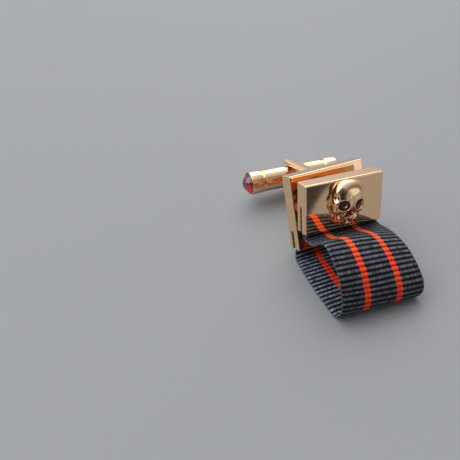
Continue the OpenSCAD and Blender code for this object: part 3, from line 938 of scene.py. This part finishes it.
def stations():
    """Rows of left edge, right edge and rise, from deep in the block's slot to deep in the plate's."""
    block_low, plate_low = -BLOCK_H / 2, -PLATE_H / 2
    rows = [slot_row(block_frame, z, MOUTH_SKEW) for z in (block_low + MOUTH, block_low)]
    for x, left_y, left_z, right_y, right_z, rise in STATIONS:
        reach = math.sqrt(BLOCK_W ** 2 - (left_y - right_y) ** 2 - (left_z - right_z) ** 2) / 2
        rows.append((x - reach, left_y, left_z, x + reach, right_y, right_z, rise))
    rows += [slot_row(plate_frame, z) for z in (plate_low, plate_low + MOUTH)]
    start = slot_row(block_frame, block_low + BLOCK_SLOT_DEEP - SLOT_END)
    end = slot_row(plate_frame, plate_low + PLATE_SLOT_DEEP - SLOT_END)
    return np.array(rows), np.array(start), np.array(end)


print("ribbon", BLOCK_W, "mm wide, through", len(stations()[0]), "stations")

# %% Ribbon curve
RIB_PITCH = 0.86
ROWS_PER_RIB = 8
CURVE_STEPS = 24


def smooth_rows(rows, start, end):
    """A smooth curve, its slope at a row that between the row's neighbours, and a run into each slot."""
    last = len(rows) - 1
    fine = [start + (rows[0] - start) * t for t in np.linspace(0, 1, CURVE_STEPS, endpoint=False)]
    for i in range(last):
        a, b, c, d = rows[max(i - 1, 0)], rows[i], rows[i + 1], rows[min(i + 2, last)]
        for t in np.arange(CURVE_STEPS) / CURVE_STEPS:
            fine.append(0.5 * (2 * b + (c - a) * t + (2 * a - 5 * b + 4 * c - d) * t * t
                               + (3 * b - a - 3 * c + d) * t ** 3))
    fine += [rows[-1] + (end - rows[-1]) * t for t in np.linspace(0, 1, CURVE_STEPS)]
    return np.array(fine)


def run_along(rows):
    """Distance along the middle line at each row."""
    middle = (rows[:, :3] + rows[:, 3:6]) / 2
    return np.r_[0, np.cumsum(np.linalg.norm(np.diff(middle, axis=0), axis=1))]


curve_rows = smooth_rows(*stations())
run = run_along(curve_rows)
ribbon_length = run[-1]
ribs = round(ribbon_length / RIB_PITCH)
even = np.linspace(0, ribbon_length, ribs * ROWS_PER_RIB + 1)
ribbon_rows = np.stack([np.interp(even, run, column) for column in curve_rows.T], 1)
print("ribbon", round(ribbon_length, 1), "mm long,", ribs, "ribs,", len(ribbon_rows), "rows")

# %% [markdown]
# The plain strip comes first: a flat section that follows the rows, with the ribbon's two faces and
# round edges. Each point also stores which way is out, which way is sideways, how far along the ribbon
# it is, and how far up and out in the section it lies. Geometry Nodes can then raise the ribs with a
# formula, and the rib's size stays a named input.

# %% Section of the ribbon
# points across each face in mm from an edge, closer together near it, where the rib turns over
NEAR_EDGE = (0, 0.15, 0.3, 0.5, 0.8)
OPEN_FACE = np.linspace(1.2, BLOCK_W - 1.2, 31)
ROUND_EDGE = np.linspace(0, math.pi, 7)[1:-1]


def section_ring():
    """(across 0 to 1, lift -1 to 1, edge -1 to 1) round the section, outer face first."""
    spread = np.r_[NEAR_EDGE, OPEN_FACE, BLOCK_W - np.array(NEAR_EDGE)[::-1]] / BLOCK_W
    outer = [(f, 1, 0) for f in spread]
    right = [(1, math.cos(a), math.sin(a)) for a in ROUND_EDGE]
    reverse = [(f, -1, 0) for f in spread[::-1]]
    left = [(0, -math.cos(a), -math.sin(a)) for a in ROUND_EDGE]
    return np.array(outer + right + reverse + left)


print("section of", len(section_ring()), "points")

# %% Plain strip
# the width of the thinner margin beside a selvedge, and the length over which a slot lets go
MARGIN_W = 0.5
LETS_GO = 1.5


def unit(v):
    return v / np.linalg.norm(v, axis=-1, keepdims=True)


def strip_shape(rows, across):
    """Middle of the section at each row and place across, with the ways that are out and sideways."""
    f = across[None, :, None]
    left, right = rows[:, None, :3], rows[:, None, 3:6]
    line = left * (1 - f) + right * f
    line[:, :, 2] = np.maximum(line[:, :, 2], LOW)
    sideways = unit(right - left) + 0 * line
    out = unit(np.cross(np.gradient(line, axis=0), sideways))
    return line + 4 * f * (1 - f) * rows[:, None, 6:7] * out, out, sideways


def plain_ribbon(rows, material):
    across, lift, edge = section_ring().T
    middle, out, sideways = strip_shape(rows, across)
    n, m = len(rows), len(across)
    strip = mesh_piece("grosgrain_ribbon", middle.reshape(-1, 3), skin_faces(n, m), ribbon_frame, material)
    along = np.repeat(np.linspace(0, ribbon_length, n), m)
    # 1 in the open, 0 inside the slots, where the ribbon lies in the middle of its groove
    from_slots = np.minimum(along - BLOCK_SLOT_DEEP, ribbon_length - PLATE_SLOT_DEEP - along)
    # 1 at the selvedges, 0 where the margin ends
    margin = np.maximum(0, 1 - np.minimum(across, 1 - across) * BLOCK_W / MARGIN_W)
    stored = {"along": along * MM, "free": np.clip(from_slots / LETS_GO, 0, 1), "lift": np.tile(lift, n),
              "edge": np.tile(edge, n), "across": np.tile(across, n), "margin": np.tile(margin, n),
              "out": out, "sideways": sideways}
    for name, data in stored.items():
        kind, field = ("FLOAT", "value") if data.ndim == 1 else ("FLOAT_VECTOR", "vector")
        layer = strip.data.attributes.new(name, kind, "POINT")
        layer.data.foreach_set(field, data.astype(np.float32).ravel())
    # the ribbon's own map, in millimetres across and along
    corner = np.empty(len(strip.data.loops), np.int32)
    strip.data.loops.foreach_get("vertex_index", corner)
    place = np.stack([stored["across"][corner] * BLOCK_W, along[corner]], 1)
    weave_map = strip.data.uv_layers.new(name="weave")
    weave_map.data.foreach_set("uv", place.astype(np.float32).ravel())
    return strip


print("strip of", len(ribbon_rows), "x", len(section_ring()), "points to come")

# %% [markdown]
# The cloth is dyed polyester yarn. Its colour is painted near black in the hollows, painted shade, and
# bluish grey on the crown of each rib, a painted highlight that stands in for the crowns' sheen. A picture
# of cloth would repeat and blur, so the yarns are worked out from the ribbon's own map, whose units are
# millimetres, and they follow it round every bend. Lengthwise yarns lie side by side. Each rib lifts
# every other one, so from rib to rib they step by half a pitch.

# %% Yarns
YARN_PITCH = 0.25
RIB_STEP = 0.5
# each rib's painted highlight has lighter and darker stretches, where the yarns lie looser or tighter
STRETCH_L = 0.714
# how far the stretches of one rib are from those of the next in their noise, so that they differ
STRETCH_APART = 3.7
# the noise's middle part, and how dark and light the stretches are
STRETCH_FROM, STRETCH_TO, STRETCH_DARK, STRETCH_LIGHT = 0.32, 0.68, 0.35, 1.25
# what every yarn has before chance or its roundness adds to it
LEAST_LUSTRE, LEAST_STRAND = 0.1, 0.45
# how narrow the painted highlight on a rib's crown is
CROWN_SHARP = 3.2


def yarns(tree, across, along):
    """Rib and yarn as 0 in a hollow to 1 on a crown, each yarn's lustre, its strand and its painted shine.
    """
    turns = add(tree, MATH, (along, ribs / ribbon_length), operation="MULTIPLY")
    wave = add(tree, MATH, (turns, math.pi), operation="MULTIPLY")
    wave = add(tree, MATH, (wave,), operation="SINE")
    rib = add(tree, MATH, (wave,), operation="ABSOLUTE")
    rib_number = add(tree, MATH, (turns,), operation="FLOOR")
    pitches = add(tree, MATH, (across, YARN_PITCH), operation="DIVIDE")
    step = add(tree, MATH, (rib_number, RIB_STEP), operation="MULTIPLY")
    pitches = add(tree, MATH, (pitches, step), operation="ADD")
    wave = add(tree, MATH, (pitches, math.pi), operation="MULTIPLY")
    wave = add(tree, MATH, (wave,), operation="SINE")
    yarn = add(tree, MATH, (wave,), operation="ABSOLUTE")
    # chance gives each short length of yarn its own lustre
    yarn_number = add(tree, MATH, (pitches,), operation="FLOOR")
    cell = add(tree, "ShaderNodeCombineXYZ", (yarn_number, rib_number))
    lustre = add(tree, "ShaderNodeTexWhiteNoise", (cell,), noise_dimensions="2D")
    some = add(tree, MATH, (lustre, LEAST_LUSTRE), operation="ADD")
    strand = add(tree, MATH, (yarn, some), operation="MULTIPLY")
    strand = add(tree, MATH, (LEAST_STRAND, strand), operation="ADD")
    # painted highlight: crowns are painted light, most in the middle of a yarn, and hollows stay dark,
    # painted shade
    long_way = add(tree, MATH, (across, 1 / STRETCH_L), operation="MULTIPLY")
    rib_way = add(tree, MATH, (rib_number, STRETCH_APART), operation="MULTIPLY")
    place = add(tree, "ShaderNodeCombineXYZ", (long_way, rib_way))
    stretch = add(tree, NOISE, {"Vector": place, "Scale": 1, "Detail": 3, "Roughness": 0.7})
    stretch = add(tree, RANGE, (stretch, STRETCH_FROM, STRETCH_TO, STRETCH_DARK, STRETCH_LIGHT))
    crown = add(tree, MATH, (rib, CROWN_SHARP), operation="POWER")
    painted_shine = add(tree, MATH, (strand, stretch), operation="MULTIPLY")
    painted_shine = add(tree, MATH, (crown, painted_shine), operation="MULTIPLY")
    return rib, yarn, lustre, strand, painted_shine


print("a yarn every", YARN_PITCH, "mm:", round(BLOCK_W / YARN_PITCH), "across the ribbon")

# %% [markdown]
# Two stripes are woven in with orange red yarn. Painted light makes them orange where they leave the
# block and the light falls straight on them, and they turn to a full red at the front of the loop. Their
# sides bow outwards on each crown. The selvedge thread loops round each rib's end, with a painted highlight.

# %% Stripes and selvedge
STRIPE_AT, STRIPE_W = (0.290, 0.681), 1.2
# how far the sides bow, and the soft border inside them
BOW, BORDER_FROM, BORDER_TO = 0.10, 0.09, 0.03
# along the ribbon, where the painted light on the stripes starts to fade into red and where the red is full
PAINTED_LIGHT_FADES, PAINTED_LIGHT_GONE = 7, 17
# the selvedge thread's width, and the strength of its painted highlight on a crown
SELVEDGE_W, SELVEDGE_SHINE = 0.14, 0.6


def stripe_share(tree, across, rib):
    """1 in the two stripes and 0 elsewhere."""
    bow = add(tree, MATH, (rib, BOW), operation="MULTIPLY")
    share = 0.0
    for place in STRIPE_AT:
        off = add(tree, MATH, (across, place * BLOCK_W), operation="SUBTRACT")
        off = add(tree, MATH, (off,), operation="ABSOLUTE")
        off = add(tree, MATH, (off, bow), operation="SUBTRACT")
        stripe = add(tree, RANGE, (off, STRIPE_W / 2 - BORDER_FROM, STRIPE_W / 2 - BORDER_TO, 1.0, 0.0))
        share = add(tree, MATH, (share, stripe), operation="MAXIMUM")
    return share


def stripe_colour(tree, along, rib, strand):
    # painted light: orange where the stripes leave the block and light falls straight on them, fading to red
    out_of_painted_light = add(tree, RANGE, (along, PAINTED_LIGHT_FADES, PAINTED_LIGHT_GONE))
    # painted highlight: both colours are lighter in the middle of each yarn
    painted_lit_orange = add(tree, MIX, (strand, linear("FF5A10"), linear("FF8A48")), data_type="RGBA")
    red = add(tree, MIX, (strand, linear("FA2006"), linear("FF5A34")), data_type="RGBA")
    crown = add(tree, MIX, (out_of_painted_light, painted_lit_orange, red), data_type="RGBA")
    # painted shade: the hollows between the ribs are painted a darker red
    return add(tree, MIX, (rib, linear("BE0600"), crown), data_type="RGBA")


def selvedge_share(tree, across, rib):
    off = add(tree, MATH, (across, BLOCK_W / 2), operation="SUBTRACT")
    off = add(tree, MATH, (off,), operation="ABSOLUTE")
    from_edge = add(tree, MATH, (BLOCK_W / 2, off), operation="SUBTRACT")
    thread = add(tree, MATH, (from_edge, SELVEDGE_W), operation="LESS_THAN")
    lit = add(tree, MATH, (rib, SELVEDGE_SHINE), operation="MULTIPLY")
    return add(tree, MATH, (thread, lit), operation="MULTIPLY")


print("stripes at", [round(place * BLOCK_W, 1) for place in STRIPE_AT], "mm from the left edge")

# %% Grosgrain
# the depth of the groove between two yarns, and the height that chance adds its own to
YARN_DEEP, LEAST_HEIGHT = 0.05, 0.6


def grosgrain():
    material, tree, shader = new_finish("grosgrain", {
        "Specular IOR Level": 0.12, "Sheen Weight": 0.02, "Sheen Roughness": 0.35})
    ribbon_map = add(tree, "ShaderNodeUVMap", uv_map="weave")
    across, along, _ = add(tree, "ShaderNodeSeparateXYZ", (ribbon_map,)).outputs
    rib, yarn, lustre, strand, painted_shine = yarns(tree, across, along)
    # painted light: the reverse, which faces the inside of the loop, has its crowns painted lighter and
    # bluer
    lift = add(tree, "ShaderNodeAttribute", attribute_name="lift").outputs["Fac"]
    reverse = add(tree, MATH, (lift, 0.0), operation="LESS_THAN")
    crown = add(tree, MIX, (reverse, linear("747680"), linear("9098AC")), data_type="RGBA")
    # painted shade and highlight: near black in the hollows, the crown colour where the painted shine is
    # full
    charcoal = add(tree, MIX, (painted_shine, linear("020203"), crown), data_type="RGBA")
    stripes, orange_red = stripe_share(tree, across, rib), stripe_colour(tree, along, rib, strand)
    striped = add(tree, MIX, (stripes, charcoal, orange_red), data_type="RGBA")
    # painted highlight: the selvedge thread is painted light grey on each rib's crown
    edge = selvedge_share(tree, across, rib)
    edged = add(tree, MIX, (edge, striped, linear("5C5E66")), data_type="RGBA")
    rough = add(tree, RANGE, {"Value": lustre, "To Min": 0.38, "To Max": 0.60})
    height = add(tree, MATH, (lustre, LEAST_HEIGHT), operation="ADD")
    height = add(tree, MATH, (yarn, height), operation="MULTIPLY")
    bump = add(tree, "ShaderNodeBump", {"Height": height, "Strength": 0.35, "Distance": YARN_DEEP * MM})
    fill(shader, {"Base Color": edged, "Roughness": rough, "Normal": bump})
    return material


cloth = grosgrain()
print("made", cloth.name, "from", len(cloth.node_tree.nodes), "nodes")

# %% [markdown]
# The ribs repeat all along the ribbon, which suits Geometry Nodes. A bump in the material wouldn't show
# at the ribbon's edges, where each rib ends in a lobe, so the ribs are real geometry. A rib's profile is
# half a circle: the root of 1 less the square of the place in the rib. A slow noise makes the ribs
# waver a little, as woven ones do. The tree's inputs are the sizes of the weave.

# %% Ribs by Geometry Nodes
RIB_SIZES = {"Rib Pitch": ribbon_length / ribs, "Core Thickness": 0.14, "Rib Height": 0.38, "Lobe": 0.10,
             "Unevenness": 0.15, "Outward": 0.24, "Set Back": 0.42}
# the ribs waver about once in 3.8 mm
WAVER_L = 50 / 13
# how much of a rib's half thickness is lost at the selvedge
SELVEDGE_THINNER = 0.28


def rib_profile(tree, along, given):
    """0 in the hollow between two ribs and 1 on a rib's crown."""
    noise = add(tree, NOISE, {"Scale": scale_of(WAVER_L), "Detail": 1.0})
    waver = add(tree, MATH, (noise, 0.5), operation="SUBTRACT")
    waver = add(tree, MATH, (waver, given["Unevenness"]), operation="MULTIPLY")
    place = add(tree, MATH, (along, waver), operation="ADD")
    place = add(tree, MATH, (place, given["Rib Pitch"]), operation="DIVIDE")
    place = add(tree, MATH, (place,), operation="FRACT")
    place = add(tree, MATH, (place, 2.0), operation="MULTIPLY")
    place = add(tree, MATH, (place, 1.0), operation="SUBTRACT")
    square = add(tree, MATH, (place, place), operation="MULTIPLY")
    rest = add(tree, MATH, (1.0, square), operation="SUBTRACT")
    rest = add(tree, MATH, (rest, 0.0), operation="MAXIMUM")
    return add(tree, MATH, (rest,), operation="SQRT")


def out_and_aside(tree, stored, given):
    """How far each point moves out of the strip's middle, and how far sideways."""
    profile = rib_profile(tree, stored["along"], given)
    # half the thickness here, less at the selvedges
    full = add(tree, MATH, (given["Rib Height"], profile), operation="MULTIPLY")
    full = add(tree, MATH, (given["Core Thickness"], full), operation="ADD")
    thinner = add(tree, MATH, (stored["margin"], SELVEDGE_THINNER), operation="MULTIPLY")
    share = add(tree, MATH, (0.5, thinner), operation="SUBTRACT")
    half = add(tree, MATH, (full, share), operation="MULTIPLY")
    # outwards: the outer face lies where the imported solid's does, and in the slots in the middle
    lifted = add(tree, MATH, (half, stored["lift"]), operation="MULTIPLY")
    shifted = add(tree, MATH, (given["Outward"], stored["free"]), operation="MULTIPLY")
    outwards = add(tree, MATH, (lifted, shifted), operation="ADD")
    # sideways: a lobe at each rib's end, and set back from the slab's sides inside the slots
    hollow = add(tree, MATH, (profile, 1.0), operation="SUBTRACT")
    lobe = add(tree, MATH, (given["Lobe"], hollow), operation="MULTIPLY")
    lobe = add(tree, MATH, (half, lobe), operation="ADD")
    lobe = add(tree, MATH, (stored["edge"], lobe), operation="MULTIPLY")
    held = add(tree, MATH, (1.0, stored["free"]), operation="SUBTRACT")
    held = add(tree, MATH, (held, given["Set Back"]), operation="MULTIPLY")
    inwards = add(tree, MATH, (stored["across"], 2.0), operation="MULTIPLY")
    inwards = add(tree, MATH, (1.0, inwards), operation="SUBTRACT")
    set_back = add(tree, MATH, (held, inwards), operation="MULTIPLY")
    return outwards, add(tree, MATH, (lobe, set_back), operation="ADD")


def rib_tree(material):
    tree = bpy.data.node_groups.new("raise_ribs", "GeometryNodeTree")
    tree.interface.new_socket("Geometry", in_out="INPUT", socket_type="NodeSocketGeometry")
    for name in RIB_SIZES:
        tree.interface.new_socket(name, in_out="INPUT", socket_type="NodeSocketFloat")
    tree.interface.new_socket("Geometry", in_out="OUTPUT", socket_type="NodeSocketGeometry")
    given = add(tree, "NodeGroupInput").outputs
    kinds = {"out": "FLOAT_VECTOR", "sideways": "FLOAT_VECTOR"}
    stored = {name: add(tree, "GeometryNodeInputNamedAttribute", (name,), data_type=kinds.get(name, "FLOAT"))
              for name in ("along", "lift", "edge", "across", "free", "margin", "out", "sideways")}
    outwards, aside = out_and_aside(tree, stored, given)
    up = add(tree, VECTOR_MATH, (stored["out"], outwards), operation="SCALE")
    to_side = add(tree, VECTOR_MATH, (stored["sideways"], aside), operation="SCALE")
    moved = add(tree, VECTOR_MATH, (up, to_side), operation="ADD")
    shaped = add(tree, "GeometryNodeSetPosition", {"Geometry": given["Geometry"], "Offset": moved})
    plain = add(tree, "GeometryNodeRealizeInstances", {"Geometry": shaped})
    dressed = add(tree, "GeometryNodeSetMaterial", {"Geometry": plain, "Material": material})
    add(tree, "NodeGroupOutput", {"Geometry": dressed})
    return tree


ribs_tree = rib_tree(cloth)
print("raise_ribs has", len(ribs_tree.nodes), "nodes and", len(RIB_SIZES), "sizes")

# %% Ribbon with its ribs
ribbon = plain_ribbon(ribbon_rows, cloth)
raise_ribs = ribbon.modifiers.new("raise_ribs", "NODES")
raise_ribs.node_group = ribs_tree
for socket in ribs_tree.interface.items_tree:
    if socket.name in RIB_SIZES:
        raise_ribs[socket.identifier] = RIB_SIZES[socket.name] * MM
apply_modifiers(ribbon)
count(ribbon)

# %% [markdown]
# Each finished piece rides on a body, so that the toggle turns with its stone, and it takes the place of
# the imported parts that it shows. The fork is one solid with the block there, so it has no part of its
# own.

# %% Hand the pieces over
# piece, body, finish, and the imported part that it shows
pieces = [
    (block, "link", "rose_gold", "face_block"),
    (strap, "link", "rose_gold", None),
    (plate, "link", "rose_gold", "hole_plate"),
    (pin, "link", "rose_gold", "pivot_pin"),
    (rivets[0], "link", "rose_gold", "rivet_left"),
    (rivets[1], "link", "rose_gold", "rivet_right"),
    (ribbon, "link", "ribbon", "ribbon"),
    (relief, "link", "rose_gold", "skull"),
    (eyes[0], "link", "garnet", "eye_stone_left"),
    (eyes[1], "link", "garnet", "eye_stone_right"),
    (toggle, "toggle", "rose_gold", "toggle_bar"),
    (toggle_stone, "toggle", "ruby", "toggle_stone"),
]
for piece, body, slot, node in pieces:
    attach(piece, body)
    if node:
        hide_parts(node)
print("handed over", len(pieces), "pieces")

# %% [markdown]
# The finish must not change the cufflink's size, so the last step prints the finished pieces' box.

# %% Sizes
finished_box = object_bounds()
print("finished box in mm:", [round(v / MM, 2) for v in finished_box[1] - finished_box[0]])
